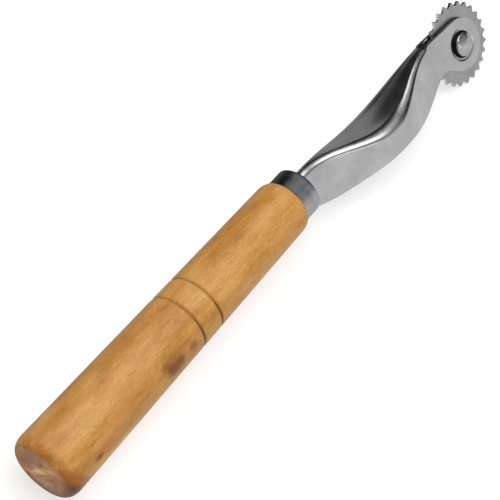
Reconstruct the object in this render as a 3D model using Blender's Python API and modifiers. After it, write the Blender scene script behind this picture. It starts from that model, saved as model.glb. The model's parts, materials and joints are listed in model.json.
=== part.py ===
"""Serrated tracing wheel: turned handle, ferrule, folded steel fork, rivet and toothed wheel.

The pieces are modelled in the tool's own frame: x runs from the handle's butt to the wheel, y along the wheel's
axle, and z up through the finger rest. They hang on one empty, which lays the tool down on the floor.
"""

import math

import bmesh
import bpy
from mathutils import Matrix, Vector

MM = 0.001
GAP = 0.25 * MM  # between fixed pieces that touch in the real tool

# Handle, turned from one piece of wood
HANDLE_LENGTH = 94.0 * MM  # butt face to the shoulder that stops the ferrule
BUTT_RADIUS = 9.25 * MM
FRONT_RADIUS = 7.5 * MM
BUTT_FACE_RADIUS = 7.2 * MM
BUTT_ROUNDING = 3.2 * MM  # length of the rounded edge at the butt
SHOULDER_ROUNDING = 3.0 * MM
GROOVES = (50.3 * MM, 57.3 * MM)
GROOVE_WIDTH = 1.25 * MM
GROOVE_DEPTH = 0.36 * MM

# Ferrule
FERRULE_LENGTH = 5.85 * MM
FERRULE_RADIUS = 6.5 * MM
FERRULE_WALL = 0.55 * MM
FERRULE_LIP = 0.25 * MM  # how far the rolled front rim closes in

# Fork, folded from one sheet
SHEET = 0.9 * MM
TANG_LENGTH = 30.0 * MM
TANG_TIP_DROP = 4.3 * MM  # height of the tang's tip
TANG_LOW = -4.2 * MM  # lower edge of the tang in the ferrule
TANG_HALF_WIDTH = 1.75 * MM
EAR_HALF_WIDTH = 1.9 * MM  # middle of the wheel to an ear's outer face
REST_HALF_WIDTH = 7.75 * MM  # finger rest at its widest
REST_PLAN = (104.0 * MM, 129.5 * MM, 157.0 * MM)  # where it starts to widen, is widest, and has closed
REST_DIP = (103.0 * MM, 130.5 * MM, 156.0 * MM)  # where it starts to dip, is lowest, and has risen
TANG_TOP = 3.7 * MM
REST_LOW = -2.0 * MM
EAR_TOP = 2.1 * MM
BEND_RADIUS = 1.65 * MM  # outside of the fold at the ferrule
BEND_OPENING = 1.1 * MM  # how much more it is at the widest place
BEND_CLOSING = 0.55 * MM  # how much less it is where the web ends
WEB_CROWN = 0.02  # rise across the finger rest, as a share of its half width
WEB_END = 154.3 * MM
WEB_STEP = 0.1 * MM

# Wheel and its rivet
AXLE = Vector((166.9 * MM, 0.0, -6.03 * MM))
EAR_RADIUS = 7.1 * MM
TEETH = 25
TIP_RADIUS = 11.3 * MM
TOOTH_DEPTH = 1.2 * MM
TIP_FLAT = 0.14 * MM
ROOT_FLAT = 0.7 * MM
TOOTH_PHASE = math.radians(-2.0)
WHEEL_THICKNESS = 0.9 * MM
SHANK_RADIUS = 1.5 * MM
RUNNING_CLEARANCE = 0.15 * MM
HEAD_BASE_RADIUS = 3.7 * MM
HEAD_TOP_RADIUS = 3.15 * MM
HEAD_HEIGHT = 0.95 * MM  # above the ear's outer face
HEAD_DOME = 0.5 * MM
TAIL_RADIUS = 3.1 * MM
TAIL_HEIGHT = 1.0 * MM
DIMPLE_RADIUS = 4.8 * MM  # round hollow pressed into each ear, which stands out as a boss on its inner side
DIMPLE_SLOPE = 0.5 * MM
DIMPLE_DEPTH = 0.3 * MM

AXIS_ALONG_X = (0.0, math.pi / 2, 0.0)
AXIS_ALONG_AXLE = (math.pi / 2, 0.0, 0.0)
LYING_ROLL = math.radians(-37.457)  # about the handle's axis, when the tool lies on a flat floor
LYING_TILT = math.radians(-1.692)  # the wheel end stands a little higher than the butt


def ease(t):
    """Half a cosine wave from 0 to 1, flat at both ends."""
    return 0.5 - 0.5 * math.cos(math.pi * min(max(t, 0.0), 1.0))


def swell(x, stations):
    """0 at the first and the last station and 1 at the middle one."""
    start, peak, end = stations
    return ease((x - start) / (peak - start)) if x < peak else ease((end - x) / (end - peak))


def arc(centre, radius, first, last, steps):
    """Points on a circle, from one angle to another in degrees."""
    points = []
    for i in range(steps + 1):
        angle = math.radians(first + (last - first) * i / steps)
        points.append((centre[0] + radius * math.cos(angle), centre[1] + radius * math.sin(angle)))
    return points


def smooth_path(knots, steps):
    """A Catmull-Rom curve through the knots."""
    padded = [knots[0]] + list(knots) + [knots[-1]]
    points = []
    for a, b, c, d in zip(padded, padded[1:], padded[2:], padded[3:]):
        a, b, c, d = Vector(a), Vector(b), Vector(c), Vector(d)
        for i in range(steps):
            t = i / steps
            bend = 2 * b + (c - a) * t + (2 * a - 5 * b + 4 * c - d) * t ** 2
            points.append(tuple((bend + (3 * b - a - 3 * c + d) * t ** 3) / 2))
    return points + [tuple(knots[-1])]


def make_material(name, colour, metallic, roughness):
    material = bpy.data.materials.new(name)
    material.use_nodes = True
    shader = material.node_tree.nodes["Principled BSDF"]
    shader.inputs["Base Color"].default_value = (*colour, 1.0)
    shader.inputs["Metallic"].default_value = metallic
    shader.inputs["Roughness"].default_value = roughness
    material.diffuse_color = (*colour, 1.0)
    return material


def add_object(name, data, group, parent=None, material=None):
    made = bpy.data.objects.new(name, data)
    group.objects.link(made)
    made.parent = parent
    if material:
        data.materials.append(material)
    return made


def add_turned(name, profile, segments, group, parent, material=None, closed=False):
    """A solid of revolution about its own z, from (radius, height) points that run down the outer side."""
    mesh = bpy.data.meshes.new(name)
    edges = [(i, i + 1) for i in range(len(profile) - 1)]
    if closed:
        edges.append((len(profile) - 1, 0))
    mesh.from_pydata([(r, 0.0, z) for r, z in profile], edges, [])
    turned = add_object(name, mesh, group, parent, material)
    screw = turned.modifiers.new("Turn", "SCREW")
    screw.steps = screw.render_steps = segments
    screw.use_merge_vertices = True
    screw.merge_threshold = 0.001 * MM
    return turned


def add_plate(name, outlines, thickness, group, parent, material=None):
    """A flat plate in its own x-y plane, from closed outlines; an outline inside another is a hole."""
    curve = bpy.data.curves.new(name, "CURVE")
    curve.dimensions = "2D"
    curve.fill_mode = "BOTH"
    curve.extrude = thickness / 2
    for outline in outlines:
        spline = curve.splines.new("POLY")
        spline.points.add(len(outline) - 1)
        for point, (x, y) in zip(spline.points, outline):
            point.co = (x, y, 0.0, 1.0)
        spline.use_cyclic_u = True
    drawn = add_object(name + "_outline", curve, group)
    mesh = bpy.data.meshes.new_from_object(drawn.evaluated_get(bpy.context.evaluated_depsgraph_get()))
    mesh.name = name
    bpy.data.objects.remove(drawn)
    bpy.data.curves.remove(curve)
    edit = bmesh.new()
    edit.from_mesh(mesh)
    bmesh.ops.remove_doubles(edit, verts=edit.verts, dist=0.001 * MM)
    bmesh.ops.recalc_face_normals(edit, faces=edit.faces)
    edit.to_mesh(mesh)
    edit.free()
    mesh.materials.clear()
    return add_object(name, mesh, group, parent, material)


def add_box(name, low, high, group, parent):
    edit = bmesh.new()
    placed = Matrix.Translation((low + high) / 2) @ Matrix.Diagonal((*(high - low), 1.0))
    bmesh.ops.create_cube(edit, size=1.0, matrix=placed)
    mesh = bpy.data.meshes.new(name)
    edit.to_mesh(mesh)
    edit.free()
    return add_object(name, mesh, group, parent)


def hide_tool(tool):
    tool.hide_render = True
    tool.display_type = "WIRE"


def add_boolean(target, tool, operation):
    modifier = target.modifiers.new(tool.name, "BOOLEAN")
    modifier.operation = operation
    modifier.object = tool
    modifier.solver = "EXACT"


def handle_radius(x):
    """The handle's straight taper."""
    return BUTT_RADIUS + (FRONT_RADIUS - BUTT_RADIUS) * x / HANDLE_LENGTH


def add_handle(group, tools, frame):
    spigot_radius = FERRULE_RADIUS - FERRULE_WALL - GAP
    spigot_end = HANDLE_LENGTH + FERRULE_LENGTH - 2 * FERRULE_LIP
    profile = [(0.0, spigot_end), (spigot_radius, spigot_end), (spigot_radius, HANDLE_LENGTH)]
    shoulder_start = HANDLE_LENGTH - SHOULDER_ROUNDING
    shoulder_drop = handle_radius(shoulder_start) - FERRULE_RADIUS
    for i in range(5):
        angle = math.pi / 2 * i / 4
        profile.append((FERRULE_RADIUS + shoulder_drop * math.sin(angle),
                        shoulder_start + SHOULDER_ROUNDING * math.cos(angle)))
    for groove in sorted(GROOVES, reverse=True):
        profile.append((handle_radius(groove + GROOVE_WIDTH / 2), groove + GROOVE_WIDTH / 2))
        profile.append((handle_radius(groove) - GROOVE_DEPTH, groove))
        profile.append((handle_radius(groove - GROOVE_WIDTH / 2), groove - GROOVE_WIDTH / 2))
    butt_drop = handle_radius(BUTT_ROUNDING) - BUTT_FACE_RADIUS
    for i in range(6):
        angle = math.pi / 2 * i / 5
        profile.append((BUTT_FACE_RADIUS + butt_drop * math.cos(angle),
                        BUTT_ROUNDING * (1.0 - math.sin(angle))))
    profile.append((0.0, 0.0))
    wood = make_material("varnished_wood", (0.60, 0.33, 0.12), 0.0, 0.28)
    handle = add_turned("handle", profile, 64, group, frame, wood)
    handle.rotation_euler = AXIS_ALONG_X

    low = Vector((HANDLE_LENGTH - TANG_LENGTH + 5 * MM, -TANG_HALF_WIDTH - GAP, TANG_LOW - GAP))
    high = Vector((spigot_end + 1 * MM, TANG_HALF_WIDTH + GAP, TANG_TOP + GAP))
    mortise = add_box("mortise", low, high, tools, frame)
    hide_tool(mortise)
    add_boolean(handle, mortise, "DIFFERENCE")


def add_ferrule(group, frame):
    inner = FERRULE_RADIUS - FERRULE_WALL
    back = HANDLE_LENGTH + GAP
    front = HANDLE_LENGTH + FERRULE_LENGTH
    roll = FERRULE_WALL + FERRULE_LIP
    profile = [(inner, back), (inner, front - 1.2 * FERRULE_LIP), (inner - FERRULE_LIP, front - 0.4 * FERRULE_LIP)]
    profile += reversed(arc((FERRULE_RADIUS - roll, front - roll), roll, 0.0, 78.0, 5))
    profile += [(FERRULE_RADIUS, back)]
    zinc = make_material("dull_steel", (0.24, 0.27, 0.29), 0.9, 0.42)
    ferrule = add_turned("ferrule", profile, 48, group, frame, zinc, closed=True)
    ferrule.rotation_euler = AXIS_ALONG_X


def rest_half_width(x):
    """Plan of the fork: half its width over both flanges."""
    narrow = TANG_HALF_WIDTH if x < REST_PLAN[1] else EAR_HALF_WIDTH
    return narrow + (REST_HALF_WIDTH - narrow) * swell(x, REST_PLAN)


def web_height(x):
    """Top of the fold along the fork's sides."""
    high = TANG_TOP if x < REST_DIP[1] else EAR_TOP
    return high + (REST_LOW - high) * swell(x, REST_DIP)


def bend_radius(x):
    """Outside of the fold: widest at the middle of the finger rest, and closing towards the ears."""
    closing = ease((x - REST_PLAN[1]) / (WEB_END - REST_PLAN[1]))
    return BEND_RADIUS + BEND_OPENING * swell(x, REST_PLAN) - BEND_CLOSING * closing


def fork_outline():
    """Side view of the fork: tang, lower edge, waist and ear, closed well above the web."""
    tang_start = HANDLE_LENGTH + FERRULE_LENGTH - TANG_LENGTH
    shoulder = HANDLE_LENGTH + FERRULE_LENGTH + GAP
    lower_edge = [(shoulder, -5.9 * MM), (103 * MM, -7.25 * MM), (109 * MM, -9.15 * MM), (118 * MM, -10.05 * MM),
                  (130 * MM, -10.35 * MM), (141 * MM, -11.0 * MM), (148 * MM, -10.5 * MM), (153 * MM, -9.15 * MM),
                  (156.7 * MM, -8.1 * MM), (159.2 * MM, -8.9 * MM)]
    above = 8 * MM
    outline = [(tang_start, above), (tang_start, TANG_TOP - TANG_TIP_DROP), (shoulder - 8 * MM, TANG_LOW)]
    outline += [(shoulder, TANG_LOW)] + smooth_path(lower_edge, 3)
    outline += arc((AXLE.x, AXLE.z), EAR_RADIUS, -128.0, 92.0, 28)
    outline += [(WEB_END - WEB_STEP / 2, EAR_TOP - 0.1 * MM), (WEB_END - WEB_STEP / 2, above)]
    return outline


def fold_path(half, top, radius, crown, low):
    """Half of a folded section, as (y, z) from the middle of the web over the fold to the flange's edge."""
    web_steps = 4
    fold_steps = 5
    path = []
    for j in range(web_steps + 1):
        path.append(((half - radius) * j / web_steps, top + crown * (0.5 + 0.5 * math.cos(math.pi * j / web_steps))))
    for j in range(1, fold_steps + 1):
        angle = math.pi / 2 * j / fold_steps
        path.append((half - radius * (1.0 - math.sin(angle)), top - radius * (1.0 - math.cos(angle))))
    return path + [(half, low)]


def fork_blank():
    """The folded sheet for y >= 0, before its side view is cut out; over the ears the web stands clear of it."""
    low = AXLE.z - EAR_RADIUS - 2 * MM
    stations = [HANDLE_LENGTH + FERRULE_LENGTH - TANG_LENGTH - 2 * MM]
    spans = 26
    stations += [REST_DIP[0] + (WEB_END - REST_DIP[0]) * i / spans for i in range(spans + 1)]
    stations += [WEB_END + WEB_STEP, REST_PLAN[2], AXLE.x + EAR_RADIUS + 2 * MM]
    edit = bmesh.new()
    rows = []
    for x in stations:
        half = rest_half_width(x)
        top = web_height(x) if x < WEB_END + WEB_STEP / 2 else EAR_TOP + 2 * BEND_RADIUS
        radius = bend_radius(x)
        crown = WEB_CROWN * half
        outer = fold_path(half, top, radius, crown, low)
        inner = fold_path(half - SHEET, top - SHEET, radius - SHEET, crown, low)
        rows.append([edit.verts.new((x, y, z)) for y, z in outer + inner[::-1]])
    for row, following in zip(rows, rows[1:]):
        for j in range(len(row) - 1):
            edit.faces.new((row[j], following[j], following[j + 1], row[j + 1]))
    edit.faces.new(rows[0])
    edit.faces.new(rows[-1][::-1])
    mesh = bpy.data.meshes.new("fork")
    edit.to_mesh(mesh)
    edit.free()
    return mesh


def add_fork(group, tools, frame):
    steel = make_material("polished_steel", (0.56, 0.56, 0.57), 1.0, 0.22)
    fork = add_object("fork", fork_blank(), group, frame, steel)
    mirror = fork.modifiers.new("Other side", "MIRROR")
    mirror.use_axis = (False, True, False)
    mirror.merge_threshold = 0.01 * MM

    side_view = add_plate("side_view", [fork_outline()], 40 * MM, tools, frame)
    side_view.rotation_euler = AXIS_ALONG_AXLE
    hide_tool(side_view)
    add_boolean(fork, side_view, "INTERSECT")

    outer = EAR_HALF_WIDTH
    inner = EAR_HALF_WIDTH - SHEET
    bottom_radius = DIMPLE_RADIUS - DIMPLE_SLOPE
    for name, side in (("near", 1.0), ("far", -1.0)):
        boss = [(0.0, inner + 0.1 * MM), (DIMPLE_RADIUS - 0.2 * MM, inner + 0.1 * MM),
                (bottom_radius - 0.2 * MM, inner - DIMPLE_DEPTH), (0.0, inner - DIMPLE_DEPTH)]
        hollow = [(0.0, outer + 1 * MM), (DIMPLE_RADIUS, outer + 1 * MM), (DIMPLE_RADIUS, outer),
                  (bottom_radius, outer - DIMPLE_DEPTH), (0.0, outer - DIMPLE_DEPTH)]
        for kind, profile, operation in (("boss", boss, "UNION"), ("hollow", hollow, "DIFFERENCE")):
            pressed = add_turned(name + "_" + kind, profile, 40, tools, frame)
            pressed.location = AXLE
            pressed.rotation_euler = (side * math.pi / 2, 0.0, 0.0)
            hide_tool(pressed)
            add_boolean(fork, pressed, operation)

    reach = EAR_HALF_WIDTH + 1 * MM
    hole_radius = SHANK_RADIUS + RUNNING_CLEARANCE
    drill = add_turned("drill", [(0.0, reach), (hole_radius, reach), (hole_radius, -reach), (0.0, -reach)],
                       32, tools, frame)
    drill.location = AXLE
    drill.rotation_euler = AXIS_ALONG_AXLE
    hide_tool(drill)
    add_boolean(fork, drill, "DIFFERENCE")


def add_rivet(group, frame):
    seat = EAR_HALF_WIDTH - DIMPLE_DEPTH + GAP / 2
    ear_face = EAR_HALF_WIDTH
    profile = [(0.0, ear_face + HEAD_HEIGHT + HEAD_DOME)]
    for share in (0.5, 0.85):
        profile.append((HEAD_TOP_RADIUS * share, ear_face + HEAD_HEIGHT + HEAD_DOME * (1.0 - share ** 2)))
    profile += [(HEAD_TOP_RADIUS, ear_face + HEAD_HEIGHT - 0.1 * MM), (HEAD_BASE_RADIUS, seat), (SHANK_RADIUS, seat)]
    profile += [(SHANK_RADIUS, -seat), (TAIL_RADIUS, -seat)]
    for i in range(1, 5):
        angle = math.pi / 2 * i / 4
        profile.append((TAIL_RADIUS * math.cos(angle) ** 0.6, -seat - TAIL_HEIGHT * math.sin(angle)))
    profile[-1] = (0.0, -seat - TAIL_HEIGHT)
    steel = make_material("rivet_steel", (0.62, 0.61, 0.60), 1.0, 0.25)
    rivet = add_turned("rivet", profile, 32, group, frame, steel)
    rivet.location = AXLE
    rivet.rotation_euler = AXIS_ALONG_AXLE


def add_wheel(group, frame):
    pitch = 2 * math.pi / TEETH
    root_radius = TIP_RADIUS - TOOTH_DEPTH
    teeth = []
    for i in range(TEETH):
        middle = TOOTH_PHASE + pitch * i
        half_tip = TIP_FLAT / 2 / TIP_RADIUS
        half_foot = pitch / 2 - ROOT_FLAT / 2 / root_radius
        for radius, angle in ((root_radius, middle - half_foot), (TIP_RADIUS, middle - half_tip),
                              (TIP_RADIUS, middle + half_tip), (root_radius, middle + half_foot)):
            teeth.append((radius * math.cos(angle), radius * math.sin(angle)))
    bore = arc((0.0, 0.0), SHANK_RADIUS + RUNNING_CLEARANCE, 0.0, 360.0 * 31 / 32, 31)
    steel = make_material("wheel_steel", (0.45, 0.45, 0.45), 1.0, 0.35)
    wheel = add_plate("wheel", [teeth, bore], WHEEL_THICKNESS, group, frame, steel)
    wheel.location = AXLE
    wheel.rotation_euler = AXIS_ALONG_AXLE


def lay_down(frame, group):
    """Rest the tool on the handle's butt, the far edge of the finger rest and a tooth, centred over the origin."""
    frame.matrix_world = Matrix.Rotation(LYING_TILT, 4, "Y") @ Matrix.Rotation(LYING_ROLL, 4, "X")
    bpy.context.view_layer.update()
    graph = bpy.context.evaluated_depsgraph_get()
    corners = []
    for piece in group.objects:
        if piece.type == "MESH":
            solid = piece.evaluated_get(graph)
            corners += [solid.matrix_world @ vertex.co for vertex in solid.data.vertices]
    low = Vector([min(corner[i] for corner in corners) for i in range(3)])
    high = Vector([max(corner[i] for corner in corners) for i in range(3)])
    middle = (low + high) / 2
    frame.location = (-middle.x, -middle.y, -low.z)


def main():
    for old in list(bpy.data.objects):
        bpy.data.objects.remove(old)
    group = bpy.data.collections.new("tracing_wheel")
    tools = bpy.data.collections.new("cutters")
    for collection in (group, tools):
        bpy.context.scene.collection.children.link(collection)
    frame = add_object("tool_frame", None, group)
    add_handle(group, tools, frame)
    add_ferrule(group, frame)
    add_fork(group, tools, frame)
    add_rivet(group, frame)
    add_wheel(group, frame)
    for piece in group.objects:
        if piece.type == "MESH":
            piece.data.shade_smooth()
            piece.data.set_sharp_from_angle(angle=math.radians(35))
    lay_down(frame, group)


main()
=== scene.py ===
"""Looks of a tracing wheel: wooden handle, dull ferrule, polished fork, bright rivet and toothed wheel.

Every piece is drawn in the tool's own frame, as in the CAD: x from the handle's butt to the wheel,
y along the axle away from the near side, and z up through the finger rest.
"""

import json
import math

import bmesh
import bpy
from mathutils import Matrix, Vector


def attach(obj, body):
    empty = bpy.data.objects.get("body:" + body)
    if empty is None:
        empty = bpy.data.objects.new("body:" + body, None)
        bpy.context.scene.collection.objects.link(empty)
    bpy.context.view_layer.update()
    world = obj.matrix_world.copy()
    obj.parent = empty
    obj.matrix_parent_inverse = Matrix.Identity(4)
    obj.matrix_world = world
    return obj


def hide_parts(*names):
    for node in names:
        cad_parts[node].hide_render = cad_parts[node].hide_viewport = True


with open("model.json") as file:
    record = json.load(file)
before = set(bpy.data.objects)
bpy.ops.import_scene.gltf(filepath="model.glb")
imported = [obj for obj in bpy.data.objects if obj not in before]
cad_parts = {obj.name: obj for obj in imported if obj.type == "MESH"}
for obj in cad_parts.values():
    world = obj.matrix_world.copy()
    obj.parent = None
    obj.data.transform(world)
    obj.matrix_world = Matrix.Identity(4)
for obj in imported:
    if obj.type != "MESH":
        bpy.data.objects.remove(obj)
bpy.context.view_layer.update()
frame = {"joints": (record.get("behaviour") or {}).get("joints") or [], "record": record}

MM = 0.001

# Handle and ferrule
HANDLE_LENGTH = 94.0 * MM
BUTT_RADIUS = 9.25 * MM
FRONT_RADIUS = 7.5 * MM
BUTT_FACE_RADIUS = 7.2 * MM
BUTT_ROUNDING = 3.2 * MM
SHOULDER_ROUNDING = 3.0 * MM
GROOVES = (50.3 * MM, 57.3 * MM)
GROOVE_WIDTH = 1.25 * MM
GROOVE_DEPTH = 0.36 * MM
FERRULE_LENGTH = 5.85 * MM
FERRULE_FRONT = HANDLE_LENGTH + FERRULE_LENGTH
FERRULE_RADIUS = 6.5 * MM
FERRULE_WALL = 0.55 * MM
FERRULE_LIP = 0.25 * MM
FIT_GAP = 0.12 * MM  # dark line between the ferrule and the handle's shoulder
SMALL_ROUNDING = 0.2 * MM

# Fork: the plan and dip stations are where the finger rest starts, is widest or lowest, and ends
SHEET = 0.9 * MM
TANG_LENGTH = 30.0 * MM
TANG_TIP = FERRULE_FRONT - TANG_LENGTH
TANG_TIP_DROP = 4.3 * MM
TANG_LOW = -4.2 * MM
TANG_LEVEL_LENGTH = 8.0 * MM  # the stretch behind the fork's shoulder where the tang has its full depth
TANG_HALF_WIDTH = 1.75 * MM
TANG_TOP = 3.7 * MM
FORK_SHOULDER = FERRULE_FRONT + 0.25 * MM
FORK_SHOULDER_STEP = 0.22 * MM
REST_HALF_WIDTH = 7.75 * MM
REST_LOW = -2.0 * MM
REST_PLAN = (104.0 * MM, 129.5 * MM, 157.0 * MM)
REST_DIP = (103.0 * MM, 130.5 * MM, 156.0 * MM)
BEND_RADIUS = 1.65 * MM
BEND_OPENING = 1.10 * MM
BEND_CLOSING = 0.55 * MM
WEB_CROWN = 0.02
WEB_END = 154.3 * MM
EAR_HALF_WIDTH = 1.9 * MM
EAR_TOP = 2.1 * MM
EAR_LINE_START = EAR_TOP - 0.1 * MM
EAR_STEP = 0.25 * MM  # how far the ear's upper edge stands above the bend where the web ends
EAR_RISE = 1.6 * MM  # where the ear's upper edge climbs from the bend to its straight line
EAR_RADIUS = 7.1 * MM
EAR_ARC = (-128.0, 88.0)  # degrees of the ear's round end, from the lower edge to the upper one
EAR_POINT_GAP = 0.3 * MM  # keeps the ear's outline clear of the flange's last corner

# Wheel and rivet
AXLE = Vector((166.9 * MM, 0.0, -6.03 * MM))
TEETH = 25
TIP_RADIUS = 11.3 * MM
TOOTH_DEPTH = 1.2 * MM
TOOTH_FOOT = 0.15 * MM  # how far the foot of a tooth's flank stands out from the root
TIP_FLAT = 0.12 * MM
ROOT_FLAT = 0.7 * MM
TOOTH_PHASE = math.radians(-2.0)
WHEEL_THICKNESS = 0.9 * MM
SHANK_RADIUS = 1.5 * MM
HOLE_RADIUS = 1.65 * MM
HEAD_BASE_RADIUS = 3.7 * MM
HEAD_TOP_RADIUS = 3.15 * MM
HEAD_HEIGHT = 0.95 * MM
HEAD_DOME = 0.50 * MM
HEAD_ROUNDING = 0.22 * MM
HEAD_GAP = 0.02 * MM  # between the head and the ear
TAIL_RADIUS = 3.1 * MM
TAIL_HEIGHT = 1.0 * MM
TAIL_ROUNDNESS = 0.6  # below 1, the peened tail is fuller than a half ellipse
DIMPLE_RADIUS = 4.6 * MM
DIMPLE_SLOPE = 0.6 * MM
DIMPLE_DEPTH = 0.16 * MM
DIMPLE_MARGIN = 0.35 * MM

# How finely the meshes are divided
MERGE_DISTANCE = 0.001 * MM
TURN_STEPS = 160
RIVET_STEPS = 96
HOLE_STEPS = 72
SHAFT_STATIONS = 440
WEB_STEPS = 14
FOLD_STEPS = 10
FLANGE_STEPS = 12
FLANGE_FIRST = WEB_STEPS + FOLD_STEPS  # place of the flange's top in a folded section
EAR_ROWS = 3

AXIS_ALONG_X = Matrix.Rotation(math.pi / 2, 4, "Y")
AXIS_ALONG_AXLE = Matrix.Rotation(math.pi / 2, 4, "X")

# Camera, and the point that the lamps face, in the tool's own frame
CAMERA_PLACE = Vector((-159.45, -365.51, 256.0)) * MM
CAMERA_FORWARD = Vector((0.46947, 0.72205, -0.50818)).normalized()
CAMERA_UP = Vector((0.65396, 0.10236, 0.74957))
LENS = 150.0
SENSOR_WIDTH = 36.0
LIT_POINT = Vector((110 * MM, 0.0, 0.0))


def tool_matrix():
    """The tool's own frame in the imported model: origin at the butt's face, y against the joint's axis."""
    butt = next(mount for mount in frame["record"]["mounts"] if mount["name"] == "butt_face")
    along = -Vector(butt["axis"]).normalized()
    away = -Vector(frame["joints"][0]["axis"]).normalized()
    up = along.cross(away).normalized()
    place = Matrix((along, up.cross(along), up)).transposed().to_4x4()
    place.translation = Vector(butt["pos_m"])
    return place


TOOL = tool_matrix()


# ---------------------------------------------------------------- shape helpers

def ease(t):
    """Half a cosine wave from 0 to 1, flat at both ends."""
    return 0.5 - 0.5 * math.cos(math.pi * min(max(t, 0.0), 1.0))


def swell(x, stations):
    """0 at the first and the last station and 1 at the middle one."""
    start, peak, end = stations
    return ease((x - start) / (peak - start)) if x < peak else ease((end - x) / (end - peak))


def spread(first, last, count):
    """Evenly spaced values, both ends included."""
    return [first + (last - first) * i / (count - 1) for i in range(count)]


def arc(centre, radius, first, last, count):
    """Points on a circle, from one angle to another in degrees."""
    points = []
    for angle in spread(first, last, count):
        turn = math.radians(angle)
        points.append((centre[0] + radius * math.cos(turn), centre[1] + radius * math.sin(turn)))
    return points


def smooth_path(knots, steps):
    """A Catmull-Rom curve through the knots."""
    padded = [knots[0]] + list(knots) + [knots[-1]]
    points = []
    for a, b, c, d in zip(padded, padded[1:], padded[2:], padded[3:]):
        a, b, c, d = Vector(a), Vector(b), Vector(c), Vector(d)
        for i in range(steps):
            t = i / steps
            bend = 2 * b + (c - a) * t + (2 * a - 5 * b + 4 * c - d) * t ** 2
            points.append(tuple((bend + (3 * b - a - 3 * c + d) * t ** 3) / 2))
    return points + [tuple(knots[-1])]


def closed_pairs(items):
    """Each item with the next one, and the last with the first."""
    return zip(items, items[1:] + items[:1])


def place_piece(piece, body, node, local=Matrix.Identity(4)):
    """Put a finished mesh into the tool's place, on its body, instead of its CAD node."""
    piece.data.transform(TOOL @ local)
    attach(piece, body)
    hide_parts(node)


def add_object(name, data):
    made = bpy.data.objects.new(name, data)
    bpy.context.scene.collection.objects.link(made)
    return made


def add_mesh_object(name, edit):
    mesh = bpy.data.meshes.new(name)
    edit.to_mesh(mesh)
    edit.free()
    mesh.shade_smooth()
    return add_object(name, mesh)


def aim_faces(edit, direction):
    """Make the faces agree, with the one that is furthest along x looking in the direction."""
    bmesh.ops.recalc_face_normals(edit, faces=edit.faces)
    furthest = max(edit.faces, key=lambda face: face.calc_center_median().x)
    if furthest.normal.dot(Vector(direction)) < 0:
        bmesh.ops.reverse_faces(edit, faces=edit.faces)


def add_turned(name, profile, steps, closed=False, sharp=32):
    """A solid of revolution about z, from (radius, height) points that run down the outer side."""
    edit = bmesh.new()
    verts = [edit.verts.new((r, 0.0, z)) for r, z in profile]
    for a, b in zip(verts, verts[1:] + (verts[:1] if closed else [])):
        edit.edges.new((a, b))
    made = add_mesh_object(name, edit)
    screw = made.modifiers.new("Turn", "SCREW")
    screw.steps = screw.render_steps = steps
    screw.use_merge_vertices = True
    screw.merge_threshold = MERGE_DISTANCE
    made.modifiers.new("Weld", "WELD").merge_threshold = MERGE_DISTANCE
    keep_sharp(made, sharp)
    return made


def apply_modifiers(piece):
    """Make what the modifiers give the piece's own mesh."""
    depsgraph = bpy.context.evaluated_depsgraph_get()
    mesh = bpy.data.meshes.new_from_object(piece.evaluated_get(depsgraph))
    piece.modifiers.clear()
    piece.data = mesh


def keep_sharp(piece, degrees):
    """Smooth shading that stops at edges sharper than the angle, with flat faces kept flat."""
    apply_modifiers(piece)
    piece.data.shade_smooth()
    piece.data.set_sharp_from_angle(angle=math.radians(degrees))
    weighted = piece.modifiers.new("Flat faces", "WEIGHTED_NORMAL")
    weighted.keep_sharp = True
    weighted.weight = 80


def thicken(piece, thickness):
    """Give a sheet its thickness, inwards from its outer face."""
    sheet = piece.modifiers.new("Sheet", "SOLIDIFY")
    sheet.thickness = thickness
    sheet.offset = -1.0
    return sheet


def round_edges(piece, width, degrees):
    """Round the sharp edges a little, and shade the flat faces between them flat."""
    bevel = piece.modifiers.new("Round edges", "BEVEL")
    bevel.width = width
    bevel.segments = 2
    bevel.limit_method = "ANGLE"
    bevel.angle_limit = math.radians(degrees)
    bevel.use_clamp_overlap = True
    bevel.harden_normals = True
    apply_modifiers(piece)


# ---------------------------------------------------------------- node helpers

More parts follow.
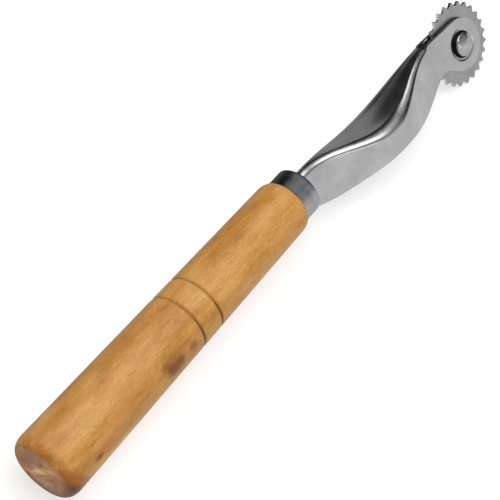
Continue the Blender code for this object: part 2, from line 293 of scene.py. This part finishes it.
class Nodes:
    """Short names for building a node tree."""

    def __init__(self, tree):
        self.tree = tree

    def node(self, kind, **settings):
        made = self.tree.nodes.new("ShaderNode" + kind)
        for key, value in settings.items():
            setattr(made, key, value)
        return made

    def feed(self, socket, value):
        if isinstance(value, bpy.types.NodeSocket):
            self.tree.links.new(value, socket)
        else:
            socket.default_value = value

    def math(self, operation, a, b=0.0):
        made = self.node("Math", operation=operation)
        self.feed(made.inputs[0], a)
        self.feed(made.inputs[1], b)
        return made.outputs[0]

    def times(self, a, b):
        return self.math("MULTIPLY", a, b)

    def add(self, a, b, weight=1.0):
        """a plus b times the weight."""
        return self.math("ADD", a, b if weight == 1.0 else self.times(b, weight))

    def less(self, a, b):
        return self.math("SUBTRACT", a, b)

    def away(self, value, middle=0.0):
        """Distance between a value and a number."""
        return self.math("ABSOLUTE", self.less(value, middle) if middle else value)

    def hypot(self, a, b):
        return self.math("SQRT", self.add(self.times(a, a), self.times(b, b)))

    def span(self, value, low, high, to_low=0.0, to_high=1.0):
        """Smoothly remap a value from one range to another."""
        made = self.node("MapRange", interpolation_type="SMOOTHSTEP")
        self.feed(made.inputs["Value"], value)
        for name, number in (("From Min", low), ("From Max", high), ("To Min", to_low), ("To Max", to_high)):
            made.inputs[name].default_value = number
        return made.outputs["Result"]

    def fade(self, value, low, high):
        """1 below the low value and 0 above the high one."""
        return self.span(value, low, high, 1.0, 0.0)

    def ramp(self, value, stops):
        made = self.node("ValToRGB")
        self.feed(made.inputs["Fac"], value)
        ramp = made.color_ramp
        while len(ramp.elements) < len(stops):
            ramp.elements.new(1.0)
        for element, (position, colour) in zip(ramp.elements, stops):
            element.position = position
            element.color = (*colour, 1.0)
        return made.outputs["Color"]

    def mix(self, share, first, second):
        made = self.node("Mix", data_type="RGBA")
        self.feed(made.inputs["Factor"], share)
        for socket, value in ((made.inputs[6], first), (made.inputs[7], second)):
            self.feed(socket, value if isinstance(value, bpy.types.NodeSocket) else (*value, 1.0))
        return made.outputs[2]

    def bump(self, height, distance, strength, before=None):
        made = self.node("Bump")
        made.inputs["Strength"].default_value = strength
        made.inputs["Distance"].default_value = distance
        self.feed(made.inputs["Height"], height)
        if before:
            self.feed(made.inputs["Normal"], before)
        return made.outputs["Normal"]


class Shader(Nodes):
    """A material, with its patterns laid out in the tool's own frame, in millimetres times a scale."""

    def __init__(self, name):
        self.material = bpy.data.materials.new(name)
        self.material.use_nodes = True
        super().__init__(self.material.node_tree)
        self.principled = self.tree.nodes["Principled BSDF"]
        place = self.node("Mapping")
        self.feed(place.inputs["Vector"], self.node("TexCoord").outputs["Object"])
        own_frame = TOOL.inverted()
        place.inputs["Location"].default_value = own_frame.translation
        place.inputs["Rotation"].default_value = own_frame.to_euler()
        self.place = place.outputs["Vector"]

    def stretch(self, scale, offset=(0.0, 0.0, 0.0)):
        made = self.node("Mapping")
        self.feed(made.inputs["Vector"], self.place)
        made.inputs["Scale"].default_value = [s / MM for s in scale]
        made.inputs["Location"].default_value = offset
        return made.outputs["Vector"]

    def axes(self):
        """The tool's own coordinates in millimetres, one by one."""
        made = self.node("SeparateXYZ")
        self.feed(made.inputs[0], self.stretch((1.0, 1.0, 1.0)))
        return made.outputs

    def noise(self, scale, offset=(0.0, 0.0, 0.0), detail=4.0, roughness=0.5, distortion=0.0):
        made = self.node("TexNoise")
        self.feed(made.inputs["Vector"], self.stretch(scale, offset))
        made.inputs["Scale"].default_value = 1.0
        made.inputs["Detail"].default_value = detail
        made.inputs["Roughness"].default_value = roughness
        made.inputs["Distortion"].default_value = distortion
        return made.outputs["Fac"]

    def cells(self, scale, feature="F1"):
        """Distance from the middle of a cell, or from its edge."""
        made = self.node("TexVoronoi", feature=feature)
        self.feed(made.inputs["Vector"], self.stretch(scale))
        made.inputs["Scale"].default_value = 1.0
        return made.outputs["Distance"]

    def smudge(self, centre, radii, wobble=0.55):
        """1 inside a soft-edged blot, at a place in millimetres, and 0 away from it."""
        length = self.node("VectorMath", operation="LENGTH")
        from_centre = self.stretch([1.0 / r for r in radii], [-c / r for c, r in zip(centre, radii)])
        self.feed(length.inputs[0], from_centre)
        uneven = self.noise((0.5, 0.9, 0.9), detail=4.0, roughness=0.7)
        reach = self.add(length.outputs["Value"], uneven, wobble * 2.0)
        return self.fade(reach, 0.35 + wobble, 1.35 + wobble)

    def finish(self, **inputs):
        for name, value in inputs.items():
            self.feed(self.principled.inputs[name.replace("_", " ")], value)
        return self.material


# ---------------------------------------------------------------- materials

# Tones of the wood, as colour stops along a noise, and the colours of what marks it
BEECH = ((0.37, (0.320, 0.128, 0.024)), (0.46, (0.440, 0.205, 0.045)),
         (0.54, (0.540, 0.280, 0.076)), (0.64, (0.640, 0.385, 0.136)))
END_GRAIN = ((0.34, (0.190, 0.060, 0.012)), (0.47, (0.370, 0.150, 0.040)),
             (0.56, (0.500, 0.240, 0.080)), (0.68, (0.640, 0.370, 0.160)))
RED_BEECH = (0.520, 0.200, 0.060)
FLECK = (0.290, 0.110, 0.026)
PORE = (0.330, 0.135, 0.034)
KNOT = (0.170, 0.038, 0.004)
# Colour of the painted shade in the grooves
GROOVE_SHADE = (0.100, 0.028, 0.005)
STAIN = (0.330, 0.095, 0.010)
SOAKED = (0.080, 0.021, 0.003)
DARK_END = (0.140, 0.042, 0.018)
PALE_END = (0.660, 0.430, 0.230)
CRACK = (0.090, 0.030, 0.010)
AMBER = (1.0, 0.60, 0.26, 1.0)

# Knots and dark marks in the wood: centre and reach in millimetres, and strength
KNOTS = (
    ((39.0, -8.2, -2.0), (2.8, 2.4, 2.4), 0.85),
    ((41.6, -8.2, -2.4), (1.2, 1.6, 1.6), 0.70),
    ((39.6, -8.4, -0.8), (6.0, 4.2, 4.2), 0.42),
    ((36.8, -8.5, -0.2), (1.8, 1.4, 1.4), 0.40),
    ((46.2, -8.1, -1.9), (1.6, 1.6, 1.6), 0.65),
    ((10.2, -8.6, -2.9), (1.6, 0.8, 0.8), 0.85),
)


def shaded_grooves(s, x, z, colour):
    """Painted shade in the two grooves, thinner towards the top."""
    uneven_reach = s.noise((0.30, 0.42, 0.42), (1.0, 6.0, 2.0), detail=3.0)
    lower = s.span(s.add(z, uneven_reach, 9.0), 1.0, 12.0, 0.95, 0.35)
    # Painted shade, heavier on the lower side of the handle
    for groove in GROOVES:
        inside = s.times(s.fade(s.away(x, groove / MM), 0.10, 0.58), lower)
        colour = s.mix(s.times(inside, 0.95), colour, GROOVE_SHADE)
    return colour


def stained_butt(s, x, low_side, uneven, colour):
    """A red-brown stain round the butt that reaches further along the low side and is darkest at the end."""
    reach = s.add(0.7, low_side, 5.2)
    rim = s.add(s.less(reach, x), uneven, 8.0)
    colour = s.mix(s.times(s.span(rim, -1.6, 1.6), 0.90), colour, STAIN)
    soaked = s.times(s.span(rim, 1.8, 4.8), s.span(low_side, 0.10, 0.65))
    return s.mix(s.times(soaked, 0.92), colour, SOAKED)


def end_grain(s, y, z, patchy):
    """The butt's end face: patchy, dark towards the top, with one pale scuff."""
    face = s.ramp(patchy, END_GRAIN)
    top = s.span(s.add(z, y, 0.4), 1.0, 5.5, 0.0, 0.80)
    face = s.mix(top, face, DARK_END)
    return s.mix(s.smudge((0.0, 0.4, 0.3), (2.0, 2.4, 0.9), 0.25), face, PALE_END)


def varnished_wood():
    """Beech under honey varnish: mottled tone, fine speckle, short dark flecks, knots, and a stained butt."""
    s = Shader("varnished_wood")
    x, y, z = s.axes()
    fibres = s.noise((0.22, 2.0, 2.0), detail=5.0, roughness=0.65)
    speckle = s.noise((1.3, 2.6, 2.6), detail=3.0, roughness=0.7)
    bands = s.noise((0.020, 0.20, 0.20), detail=2.0, distortion=0.8)
    clouds = s.noise((0.10, 0.20, 0.20), (5.0, 2.0, 1.0), detail=4.0, roughness=0.6)
    tone = s.add(s.times(fibres, 0.22), speckle, 0.22)
    tone = s.add(s.add(tone, bands, 0.26), clouds, 0.30)
    colour = s.ramp(tone, BEECH)
    red_patches = s.span(s.noise((0.07, 0.16, 0.16), (2.0, 8.0, 3.0), detail=3.0), 0.52, 0.70)
    colour = s.mix(s.times(red_patches, 0.35), colour, RED_BEECH)
    fleck_patches = s.span(s.noise((0.09, 0.5, 0.5), (3.0, 0.0, 7.0), detail=1.0), 0.36, 0.60)
    flecks = s.times(s.fade(s.cells((0.55, 2.6, 2.6)), 0.10, 0.34), fleck_patches)
    colour = s.mix(s.times(flecks, 0.50), colour, FLECK)
    pores = s.fade(s.cells((1.0, 5.0, 5.0)), 0.06, 0.26)
    colour = s.mix(s.times(pores, 0.28), colour, PORE)
    for centre, radii, strength in KNOTS:
        colour = s.mix(s.times(s.smudge(centre, radii), strength), colour, KNOT)

    colour = shaded_grooves(s, x, z, colour)
    uneven = s.less(s.noise((0.30, 0.28, 0.28), detail=5.0, roughness=0.6), 0.5)
    low_side = s.fade(s.add(z, uneven, 6.0), -6.0, 3.5)
    colour = stained_butt(s, x, low_side, uneven, colour)

    on_face = s.fade(x, 0.15, 0.9)
    patchy = s.noise((0.15, 0.16, 0.26), (3.0, 1.0, 5.0), detail=4.0, roughness=0.6, distortion=0.5)
    share = s.times(s.span(s.hypot(y, z), 5.4, 7.6, 0.90, 0.20), s.span(low_side, 0.40, 0.95, 1.0, 0.60))
    colour = s.mix(s.times(on_face, share), colour, end_grain(s, y, z, patchy))
    crack_patches = s.span(s.noise((0.1, 0.30, 0.30), (0.0, 4.0, 0.0), detail=2.0), 0.50, 0.60)
    cracks = s.times(s.fade(s.cells((0.1, 0.16, 0.30), "DISTANCE_TO_EDGE"), 0.005, 0.035), crack_patches)
    cracks = s.times(on_face, cracks)
    colour = s.mix(s.times(cracks, 0.50), colour, CRACK)

    normal = s.bump(speckle, 0.03 * MM, 0.45)
    normal = s.bump(s.less(1.0, s.math("MAXIMUM", cracks, pores)), 0.05 * MM, 0.5, normal)
    normal = s.bump(s.times(on_face, patchy), 0.5 * MM, 0.5, normal)
    normal = s.bump(clouds, 0.25 * MM, 0.35, normal)
    varnish = s.bump(s.noise((0.5, 0.9, 0.9), detail=3.0), 0.07 * MM, 0.6)
    return s.finish(Base_Color=colour, Roughness=s.span(fibres, 0.3, 0.7, 0.42, 0.60), Normal=normal,
                    Coat_Weight=0.30, Coat_Roughness=0.15, Coat_IOR=1.5, Coat_Normal=varnish,
                    Specular_IOR_Level=0.30, Specular_Tint=AMBER)


def dull_zinc():
    """Ferrule: blue-grey steel with rings from its pressing, painted dark above as shade and lighter below as
    a painted reflection of the pale floor.
    """
    s = Shader("dull_zinc")
    z = s.axes()[2]
    mottle = s.noise((0.45, 0.45, 0.45), detail=5.0, roughness=0.6)
    rings = s.noise((6.0, 0.12, 0.12), detail=3.0)
    tone = s.add(s.times(mottle, 0.6), rings, 0.4)
    lit_lower_tone = s.ramp(tone, ((0.34, (0.34, 0.335, 0.345)), (0.62, (0.54, 0.53, 0.545))))
    shaded_upper_tone = s.ramp(tone, ((0.34, (0.050, 0.060, 0.060)), (0.62, (0.125, 0.137, 0.135))))
    uneven_height = s.add(z, s.less(mottle, 0.5), 3.0)
    # Painted shade and reflection: dark above, lighter below, by height
    colour = s.mix(s.span(uneven_height, 1.4, 3.4), lit_lower_tone, shaded_upper_tone)
    normal = s.bump(rings, 0.012 * MM, 0.6)
    normal = s.bump(mottle, 0.03 * MM, 0.4, normal)
    return s.finish(Base_Color=colour, Metallic=1.0, Roughness=s.span(mottle, 0.3, 0.7, 0.26, 0.42),
                    Normal=normal)


def polished_sheet(name, dark, light, smooth, rough, brushed):
    """Steel sheet with faint brushing, cloudy wear and small pits, between two greys and two roughnesses."""
    s = Shader(name)
    brushing = s.noise(brushed, detail=5.0, roughness=0.7)
    clouds = s.noise((0.16, 0.16, 0.16), detail=4.0, roughness=0.55)
    pit_patches = s.span(s.noise((0.22, 0.22, 0.22), (9.0, 3.0, 1.0), detail=2.0), 0.52, 0.68)
    pits = s.times(s.fade(s.cells((1.7, 1.7, 1.7)), 0.03, 0.12), pit_patches)
    tone = s.add(s.times(brushing, 0.35), clouds, 0.65)
    colour = s.ramp(tone, ((0.34, dark), (0.66, light)))
    colour = s.mix(s.times(pits, 0.35), colour, (0.16, 0.16, 0.16))
    wear = s.add(s.times(clouds, 0.6), brushing, 0.4)
    normal = s.bump(brushing, 0.004 * MM, 0.6)
    normal = s.bump(s.less(1.0, pits), 0.01 * MM, 0.4, normal)
    normal = s.bump(clouds, 0.05 * MM, 0.25, normal)
    return s.finish(Base_Color=colour, Metallic=1.0, Roughness=s.span(wear, 0.34, 0.66, smooth, rough),
                    Normal=normal)


def rivet_steel():
    """Hammered head: a lightly dented, worn crown above a side wall painted near black, as shade."""
    s = Shader("rivet_steel")
    x, _, z = s.axes()
    from_axle = s.hypot(s.less(x, AXLE.x / MM), s.less(z, AXLE.z / MM))
    dents = s.noise((0.30, 0.1, 0.30), detail=1.5)
    wear = s.noise((1.6, 1.6, 1.6), detail=4.0, roughness=0.65)
    tone = s.add(s.times(dents, 0.6), wear, 0.4)
    colour = s.ramp(tone, ((0.36, (0.36, 0.36, 0.36)), (0.62, (0.62, 0.62, 0.62))))
    # Painted shade: the side wall of the head is painted near black
    painted_dark_wall = s.span(from_axle, HEAD_TOP_RADIUS / MM - 0.10, HEAD_TOP_RADIUS / MM + 0.06)
    colour = s.mix(painted_dark_wall, colour, (0.012, 0.012, 0.012))
    roughness = s.math("MAXIMUM", s.span(wear, 0.34, 0.66, 0.16, 0.34), s.times(painted_dark_wall, 0.6))
    normal = s.bump(dents, 0.7 * MM, 0.6)
    normal = s.bump(wear, 0.010 * MM, 0.4, normal)
    return s.finish(Base_Color=colour, Metallic=1.0, Roughness=roughness, Normal=normal)


# ---------------------------------------------------------------- pieces

def handle_radius(x):
    return BUTT_RADIUS + (FRONT_RADIUS - BUTT_RADIUS) * x / HANDLE_LENGTH


def groove_cut(x):
    """Depth of the grooves, rounded at the bottom and at the lips."""
    nearest = min(abs(x - groove) for groove in GROOVES)
    return GROOVE_DEPTH * (0.5 + 0.5 * math.cos(math.pi * min(nearest / (GROOVE_WIDTH / 2), 1.0)))


def make_handle():
    spigot_radius = FERRULE_RADIUS - FERRULE_WALL - FIT_GAP
    spigot_end = FERRULE_FRONT - 2 * FERRULE_LIP
    shoulder_start = HANDLE_LENGTH - SHOULDER_ROUNDING
    shoulder_drop = handle_radius(shoulder_start) - FERRULE_RADIUS
    butt_drop = handle_radius(BUTT_ROUNDING) - BUTT_FACE_RADIUS
    profile = [(0.0, spigot_end), (spigot_radius - SMALL_ROUNDING, spigot_end),
               (spigot_radius, spigot_end - SMALL_ROUNDING), (spigot_radius, HANDLE_LENGTH)]
    for angle in spread(0.0, 90.0, 14):
        turn = math.radians(angle)
        x = shoulder_start + SHOULDER_ROUNDING * math.cos(turn)
        profile.append((FERRULE_RADIUS + shoulder_drop * math.sin(turn), x))
    for x in spread(shoulder_start, BUTT_ROUNDING, SHAFT_STATIONS)[1:-1]:
        profile.append((handle_radius(x) - groove_cut(x), x))
    for angle in spread(0.0, 90.0, 18):
        turn = math.radians(angle)
        x = BUTT_ROUNDING * (1.0 - math.sin(turn))
        profile.append((BUTT_FACE_RADIUS + butt_drop * math.cos(turn), x))
    profile += [(BUTT_FACE_RADIUS * 0.6, 0.0), (0.0, 0.0)]
    handle = add_turned("handle_turned", profile, TURN_STEPS)
    handle.data.materials.append(varnished_wood())
    place_piece(handle, "tool", "handle", AXIS_ALONG_X)


def make_ferrule():
    inner = FERRULE_RADIUS - FERRULE_WALL
    back = HANDLE_LENGTH + FIT_GAP
    roll = FERRULE_WALL + FERRULE_LIP
    profile = [(inner, back), (inner, FERRULE_FRONT - 2.0 * FERRULE_LIP),
               (inner - FERRULE_LIP, FERRULE_FRONT - 0.8 * FERRULE_LIP)]
    profile += reversed(arc((FERRULE_RADIUS - roll, FERRULE_FRONT - roll), roll, 0.0, 80.0, 12))
    profile += arc((FERRULE_RADIUS - SMALL_ROUNDING, back + SMALL_ROUNDING), SMALL_ROUNDING, 0.0, -90.0, 5)
    ferrule = add_turned("ferrule_ring", profile, TURN_STEPS, closed=True)
    ferrule.data.materials.append(dull_zinc())
    place_piece(ferrule, "tool", "ferrule", AXIS_ALONG_X)


def rest_half_width(x):
    narrow = TANG_HALF_WIDTH if x < REST_PLAN[1] else EAR_HALF_WIDTH
    return narrow + (REST_HALF_WIDTH - narrow) * swell(x, REST_PLAN)


def web_height(x):
    high = TANG_TOP if x < REST_DIP[1] else EAR_TOP
    return high + (REST_LOW - high) * swell(x, REST_DIP)


# The fork's lower edge in front of the ferrule, as (x, z)
LOWER_EDGE = smooth_path([(FORK_SHOULDER, -5.9 * MM), (103 * MM, -7.25 * MM), (109 * MM, -9.15 * MM),
                          (118 * MM, -10.05 * MM), (130 * MM, -10.35 * MM), (141 * MM, -11.0 * MM),
                          (148 * MM, -10.5 * MM), (153 * MM, -9.15 * MM), (156.7 * MM, -8.1 * MM),
                          (159.2 * MM, -8.9 * MM)], 16)


def lower_edge(x):
    """Height of the fork's lower edge, from the tang's tip to the ears."""
    if x < FORK_SHOULDER:
        tip_height = TANG_TOP - TANG_TIP_DROP
        taper_end = FORK_SHOULDER - TANG_LEVEL_LENGTH
        return tip_height + (TANG_LOW - tip_height) * min((x - TANG_TIP) / (taper_end - TANG_TIP), 1.0)
    for a, b in zip(LOWER_EDGE, LOWER_EDGE[1:]):
        if x <= b[0]:
            return a[1] + (b[1] - a[1]) * (x - a[0]) / (b[0] - a[0])
    return LOWER_EDGE[-1][1]


def folded_section(x):
    """Half of the folded section at x, as (y, z) from the middle of the web to the flange's lower edge."""
    half = rest_half_width(x)
    top = web_height(x)
    closing = ease((x - REST_PLAN[1]) / (WEB_END - REST_PLAN[1]))
    radius = BEND_RADIUS + BEND_OPENING * swell(x, REST_PLAN) - BEND_CLOSING * closing
    crown = WEB_CROWN * half
    section = []
    for t in spread(0.0, 1.0, WEB_STEPS + 1):
        section.append(((half - radius) * t, top + crown * (0.5 + 0.5 * math.cos(math.pi * t))))
    for angle in spread(0.0, 90.0, FOLD_STEPS + 1)[1:]:
        turn = math.radians(angle)
        section.append((half - radius * (1.0 - math.sin(turn)), top - radius * (1.0 - math.cos(turn))))
    section += [(half, z) for z in spread(top - radius, lower_edge(x), FLANGE_STEPS + 1)[1:]]
    return section


def folded_channel(edit):
    """The channel up to the web's end and the bare flange beyond it. Gives the flange's stations and rows."""
    stations = spread(TANG_TIP, FORK_SHOULDER - FORK_SHOULDER_STEP, 8) + spread(FORK_SHOULDER, WEB_END, 90)
    beyond = spread(WEB_END, REST_PLAN[2], 10)
    grid = []
    for x in stations + beyond[1:]:
        grid.append([edit.verts.new((x, y, z)) for y, z in folded_section(x)])
    for i, (row, following) in enumerate(zip(grid, grid[1:])):
        first = 0 if i < len(stations) - 1 else FLANGE_FIRST
        for j in range(first, len(row) - 1):
            edit.faces.new((row[j], following[j], following[j + 1], row[j + 1]))
    for row in grid[len(stations):]:
        for vertex in row[:FLANGE_FIRST]:
            edit.verts.remove(vertex)
    return beyond, [row[FLANGE_FIRST:] for row in grid[len(stations) - 1:]]


def ear_root(edit, stations, flanges):
    """The strip over the flange where the ear starts, its edge rising from the bend. Gives its last column."""
    line_end = AXLE.z + EAR_RADIUS
    bend_top = flanges[0][0].co.z + EAR_STEP
    columns = []
    for x, flange in zip(stations, flanges):
        corner = flange[0]
        line = EAR_LINE_START + (line_end - EAR_LINE_START) * (x - WEB_END) / (AXLE.x - WEB_END)
        height = bend_top + (line - bend_top) * ease((x - WEB_END) / EAR_RISE)
        heights = spread(corner.co.z, height, EAR_ROWS + 1)[1:]
        columns.append([corner] + [edit.verts.new((x, corner.co.y, z)) for z in heights])
    for column, following in zip(columns, columns[1:]):
        for j in range(EAR_ROWS):
            edit.faces.new((column[j + 1], following[j + 1], following[j], column[j]))
    return columns[-1]


def pressed_hollow(edit):
    """Rings from the flat ear down its pressed hollow to the rivet's hole. Gives the outer ring's edges."""
    slope = [DIMPLE_RADIUS - DIMPLE_SLOPE * t for t in spread(0.0, 1.0, 7)]
    rings = []
    for radius in [DIMPLE_RADIUS + DIMPLE_MARGIN] + slope + [HOLE_RADIUS]:
        y = EAR_HALF_WIDTH - DIMPLE_DEPTH * ease((DIMPLE_RADIUS - radius) / DIMPLE_SLOPE)
        ring = []
        for k in range(HOLE_STEPS):
            turn = 2 * math.pi * k / HOLE_STEPS
            x = AXLE.x + radius * math.cos(turn)
            z = AXLE.z + radius * math.sin(turn)
            ring.append(edit.verts.new((x, y, z)))
        rings.append(ring)
    edges = []
    for k in range(HOLE_STEPS):
        following = (k + 1) % HOLE_STEPS
        edges.append(edit.edges.new((rings[0][k], rings[0][following])))
        for outer, inner in zip(rings, rings[1:]):
            edit.faces.new((outer[k], outer[following], inner[following], inner[k]))
    return edges


def fork_sheet():
    """Outer face of the sheet for y >= 0: the folded channel, then the flat ear with its pressed hollow."""
    edit = bmesh.new()
    stations, flanges = folded_channel(edit)
    outline = ear_root(edit, stations, flanges)[::-1] + flanges[-1][1:]
    ear_outline = [point for point in LOWER_EDGE if point[0] > REST_PLAN[2] + EAR_POINT_GAP]
    ear_outline += arc((AXLE.x, AXLE.z), EAR_RADIUS, *EAR_ARC, 90)
    outline += [edit.verts.new((x, EAR_HALF_WIDTH, z)) for x, z in ear_outline]
    edges = [edit.edges.get(pair) or edit.edges.new(pair) for pair in closed_pairs(outline)]
    edges += pressed_hollow(edit)
    bmesh.ops.triangle_fill(edit, edges=edges, use_beauty=True)
    aim_faces(edit, (0.0, 1.0, 0.0))
    return edit


def make_fork():
    fork = add_mesh_object("fork_sheet", fork_sheet())
    mirror = fork.modifiers.new("Other side", "MIRROR")
    mirror.use_axis = (False, True, False)
    mirror.merge_threshold = 0.01 * MM
    sheet = thicken(fork, SHEET)
    sheet.use_even_offset = True
    sheet.material_offset_rim = 1  # the cut edges take the second material
    fork.data.materials.append(polished_sheet("polished_steel", dark=(0.50, 0.50, 0.505),
                                              light=(0.66, 0.66, 0.665), smooth=0.19, rough=0.26,
                                              brushed=(0.25, 4.0, 4.0)))
    # Painted shade: the cut edges are painted dark grey; their higher roughness is their own
    fork.data.materials.append(polished_sheet("cut_edge_painted_shade", dark=(0.11, 0.11, 0.11),
                                              light=(0.27, 0.27, 0.27), smooth=0.35, rough=0.50,
                                              brushed=(0.5, 5.0, 1.0)))
    round_edges(fork, width=0.09 * MM, degrees=60)
    place_piece(fork, "tool", "fork")


def make_rivet():
    seat = EAR_HALF_WIDTH - DIMPLE_DEPTH + HEAD_GAP
    head = EAR_HALF_WIDTH + HEAD_HEIGHT
    profile = [(HEAD_TOP_RADIUS * t, head + HEAD_DOME * (1.0 - t ** 2)) for t in spread(0.0, 0.9, 12)]
    corner = (HEAD_TOP_RADIUS - HEAD_ROUNDING, head - HEAD_ROUNDING)
    profile += reversed(arc(corner, HEAD_ROUNDING, -10.0, 78.0, 7))
    profile += [(HEAD_BASE_RADIUS - 0.08 * MM, seat + 0.22 * MM), (HEAD_BASE_RADIUS, seat + 0.1 * MM),
                (HEAD_BASE_RADIUS - 0.05 * MM, seat), (SHANK_RADIUS, seat), (SHANK_RADIUS, -seat),
                (TAIL_RADIUS - 0.1 * MM, -seat), (TAIL_RADIUS, -seat - 0.1 * MM)]
    for angle in spread(8.0, 90.0, 14):
        turn = math.radians(angle)
        radius = TAIL_RADIUS * math.cos(turn) ** TAIL_ROUNDNESS
        profile.append((radius, -seat - TAIL_HEIGHT * math.sin(turn)))
    profile[-1] = (0.0, -seat - TAIL_HEIGHT)
    rivet = add_turned("rivet_headed", profile, RIVET_STEPS, sharp=40)
    rivet.data.materials.append(rivet_steel())
    place_piece(rivet, "tool", "rivet", Matrix.Translation(AXLE) @ AXIS_ALONG_AXLE)


def tooth_outline():
    """The toothed rim, as (x, y) about the axle."""
    pitch = 2 * math.pi / TEETH
    root_radius = TIP_RADIUS - TOOTH_DEPTH
    foot_radius = root_radius + TOOTH_FOOT
    half_tip = TIP_FLAT / 2 / TIP_RADIUS
    half_foot = pitch / 2 - ROOT_FLAT / 2 / root_radius
    points = []
    for i in range(TEETH):
        middle = TOOTH_PHASE + pitch * i
        for radius, angle in ((foot_radius, middle - half_foot), (TIP_RADIUS, middle - half_tip),
                              (TIP_RADIUS, middle + half_tip), (foot_radius, middle + half_foot),
                              (root_radius, middle + pitch / 2)):
            points.append((radius * math.cos(angle), radius * math.sin(angle)))
    return points


def make_wheel():
    edit = bmesh.new()
    loops = []
    for points in (tooth_outline(), arc((0.0, 0.0), HOLE_RADIUS, 0.0, 355.0, HOLE_STEPS)):
        loops.append([edit.verts.new((x, y, WHEEL_THICKNESS / 2)) for x, y in points])
    edges = [edit.edges.new(pair) for loop in loops for pair in closed_pairs(loop)]
    bmesh.ops.triangle_fill(edit, edges=edges, use_beauty=True)
    aim_faces(edit, (0.0, 0.0, 1.0))
    wheel = add_mesh_object("wheel_toothed", edit)
    thicken(wheel, WHEEL_THICKNESS)
    round_edges(wheel, width=0.05 * MM, degrees=30)
    wheel.data.materials.append(polished_sheet("stamped_steel", dark=(0.38, 0.38, 0.385),
                                               light=(0.58, 0.58, 0.585), smooth=0.24, rough=0.40,
                                               brushed=(3.0, 0.5, 1.0)))
    place_piece(wheel, "wheel", "wheel", Matrix.Translation(AXLE) @ AXIS_ALONG_AXLE)


# ---------------------------------------------------------------- studio

def add_softbox(name, direction, distance, size, power):
    """A soft box that faces the lit point from a direction, in the tool's frame, its first side along it."""
    lamp = bpy.data.lights.new(name, "AREA")
    lamp.shape = "RECTANGLE"
    lamp.size, lamp.size_y = size
    lamp.energy = power
    made = add_object(name, lamp)
    way = Vector(direction).normalized()
    across = way.cross(Vector((1.0, 0.0, 0.0))).normalized()
    turn = Matrix((across.cross(way), across, way)).transposed().to_4x4()
    made.matrix_world = TOOL @ Matrix.Translation(LIT_POINT + way * distance) @ turn
    return made


def light_world():
    """Light from all round, by direction: a bright near side, a dark far one, and white to the camera."""
    world = bpy.data.worlds.new("studio")
    bpy.context.scene.world = world
    world.use_nodes = True
    n = Nodes(world.node_tree)
    apart = n.node("SeparateXYZ")
    n.feed(apart.inputs[0], n.node("TexCoord").outputs["Generated"])
    x, y, z = apart.outputs
    ahead = n.span(x, 0.60, 0.72)

    # The far side is dark, apart from some light from below and from behind the butt
    far = n.add(n.span(z, -0.05, 0.05, 0.29, 0.010), n.span(x, -0.45, -0.20, 0.75, 0.0))

    # The near side dims upwards and straight ahead, and has a bright window
    lit = n.less(1.0, n.times(ahead, n.span(z, -0.02, 0.13, 0.0, 0.97)))
    near = n.times(n.span(z, 0.15, 0.50, 0.74, 0.20), lit)
    window = n.times(n.span(n.away(x), 0.12, 0.22, 1.1, 0.0), n.fade(n.away(z, 0.36), 0.06, 0.12))
    near = n.add(near, window)

    # A bright streak stands high up ahead
    streak = n.times(n.fade(n.away(y, 0.10), 0.14, 0.38), n.span(z, 0.45, 0.60))
    far_side = n.span(y, -0.30, 0.25)
    level = n.add(n.times(far, far_side), n.times(near, n.less(1.0, far_side)))
    level = n.add(level, n.times(streak, ahead))
    seen = n.node("LightPath").outputs["Is Camera Ray"]
    background = world.node_tree.nodes["Background"]
    n.feed(background.inputs["Strength"], n.math("MAXIMUM", level, seen))
    background.inputs["Color"].default_value = (1.0, 1.0, 1.0, 1.0)


def make_floor():
    """A pale floor that glows a little, so that only the tool's own shadow shows on it."""
    edit = bmesh.new()
    bmesh.ops.create_grid(edit, x_segments=1, y_segments=1, size=1.5)
    floor = add_mesh_object("floor", edit)
    floor.visible_glossy = False
    paper = bpy.data.materials.new("floor_paper")
    paper.use_nodes = True
    surface = paper.node_tree.nodes["Principled BSDF"]
    surface.inputs["Base Color"].default_value = (0.38, 0.38, 0.38, 1.0)
    surface.inputs["Roughness"].default_value = 0.9
    surface.inputs["Emission Color"].default_value = (1.0, 1.0, 1.0, 1.0)
    surface.inputs["Emission Strength"].default_value = 0.66
    floor.data.materials.append(paper)


def make_studio():
    bpy.context.scene.view_settings.view_transform = "Standard"
    light_world()
    make_floor()
    add_softbox("overhead_softbox", direction=(0.22, -0.56, 0.80), distance=0.7,
                size=(0.46, 1.25), power=4.4)
    fill = add_softbox("fill_softbox", direction=(0.20, -0.70, 0.65), distance=1.0,
                       size=(1.2, 1.2), power=6.0)
    fill.visible_glossy = False


def make_camera():
    """A long lens off the handle's end, near and above, rolled so that the tool runs corner to corner."""
    camera = bpy.data.cameras.new("main_view")
    camera.lens = LENS
    camera.sensor_width = SENSOR_WIDTH
    made = add_object("main_view", camera)
    up = (CAMERA_UP - CAMERA_FORWARD * CAMERA_UP.dot(CAMERA_FORWARD)).normalized()
    right = CAMERA_FORWARD.cross(up)
    turn = Matrix((right, up, -CAMERA_FORWARD)).transposed().to_4x4()
    made.matrix_world = TOOL @ Matrix.Translation(CAMERA_PLACE) @ turn
    bpy.context.scene.camera = made


make_handle()
make_ferrule()
make_fork()
make_rivet()
make_wheel()
make_studio()
make_camera()
